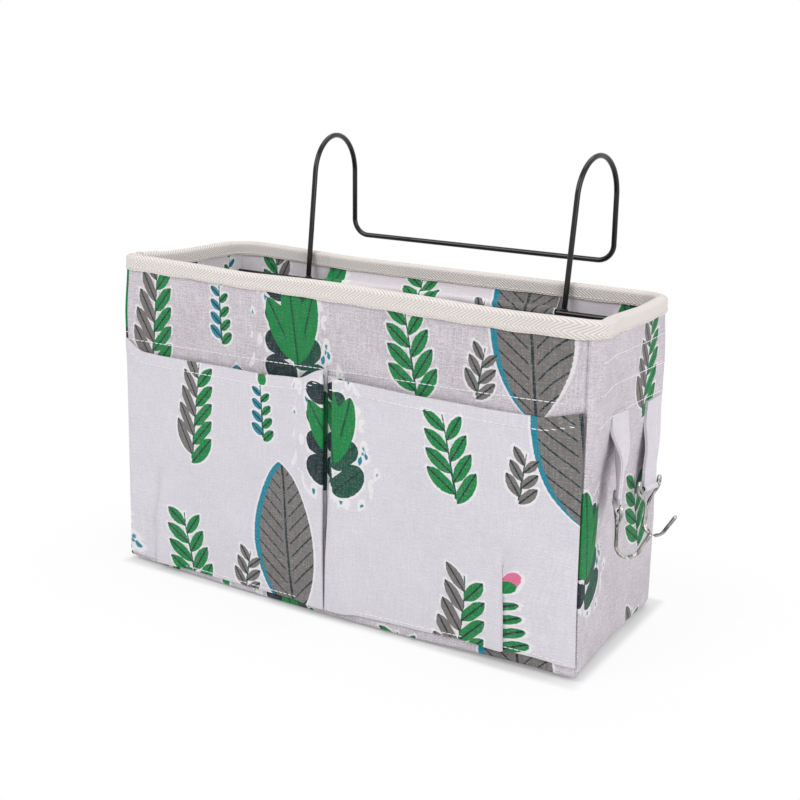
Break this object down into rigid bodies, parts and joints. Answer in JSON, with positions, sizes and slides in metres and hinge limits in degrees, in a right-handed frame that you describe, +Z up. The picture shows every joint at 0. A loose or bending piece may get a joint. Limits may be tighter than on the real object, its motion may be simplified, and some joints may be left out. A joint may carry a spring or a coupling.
{
  "type": "crib organizer",
  "caption": "Stiffened canvas storage box with pleated front pockets, a wire rack that hooks over a bed rail, and wire hooks on straps at one end.",
  "frame": {"origin": "centre of the box's footprint, on the surface it stands on", "axes": "+X to the right along the front, towards the end with the hooks; +Y to the rear, towards the bed rail; +Z up; the pockets face -Y"},
  "size_m": [0.3551, 0.1852, 0.2744],
  "materials": {
    "printed_canvas": "plain-weave pale canvas with a scattered leaf print",
    "pocket_canvas": "plain-weave pale canvas with a scattered leaf print, hemmed at the mouth",
    "strap_canvas": "doubled plain-weave canvas strap",
    "lining_cloth": "plain-weave pale lining with the same print",
    "rim_tape": "cream herringbone twill tape",
    "stiffening_board": "matt foam board, hidden inside the walls",
    "black_wire": "glossy black dipped wire",
    "bright_wire": "bright plated wire"
  },
  "bodies": {
    "bag": {"panel_front": "printed_canvas", "panel_back": "printed_canvas", "panel_left": "printed_canvas", "panel_right": "printed_canvas", "panel_base": "printed_canvas", "board_front": "stiffening_board", "board_back": "stiffening_board", "board_left": "stiffening_board", "board_right": "stiffening_board", "board_base": "stiffening_board", "lining_front": "lining_cloth", "lining_back": "lining_cloth", "lining_left": "lining_cloth", "lining_right": "lining_cloth", "lining_base": "lining_cloth", "rim_binding": "rim_tape", "pocket_left": "pocket_canvas", "pocket_right": "pocket_canvas", "bar_sleeve": "lining_cloth"},
    "rack": {"rack_bar": "black_wire", "rack_wire": "black_wire"},
    "front_strap": {"strap_front": "strap_canvas"},
    "rear_strap": {"strap_rear": "strap_canvas"},
    "front_hook": {"hook_front": "bright_wire"},
    "rear_hook": {"hook_rear": "bright_wire"}
  },
  "joints": [
    {"name": "rack_tilt", "type": "hinge", "parent": "bag", "child": "rack", "pos_m": [0, 0.04975, 0.1787], "axis": [1, 0, 0], "range_deg": [0, 185]},
    {"name": "front_strap_swing", "type": "hinge", "parent": "bag", "child": "front_strap", "pos_m": [0.1622, -0.017, 0.142], "axis": [0, -1, 0], "range_deg": [0, 120]},
    {"name": "rear_strap_swing", "type": "hinge", "parent": "bag", "child": "rear_strap", "pos_m": [0.1622, 0.035, 0.138], "axis": [0, -1, 0], "range_deg": [0, 120]},
    {"name": "front_hook_swing", "type": "hinge", "parent": "front_strap", "child": "front_hook", "pos_m": [0.175, -0.041, 0.0973], "axis": [0.4669, -0.8781, 0.1045], "range_deg": [-12, 95]},
    {"name": "rear_hook_swing", "type": "hinge", "parent": "rear_strap", "child": "rear_hook", "pos_m": [0.167, 0.0275, 0.0865], "axis": [0, -0.9877, 0.1564], "range_deg": [-6, 120]}
  ]
}
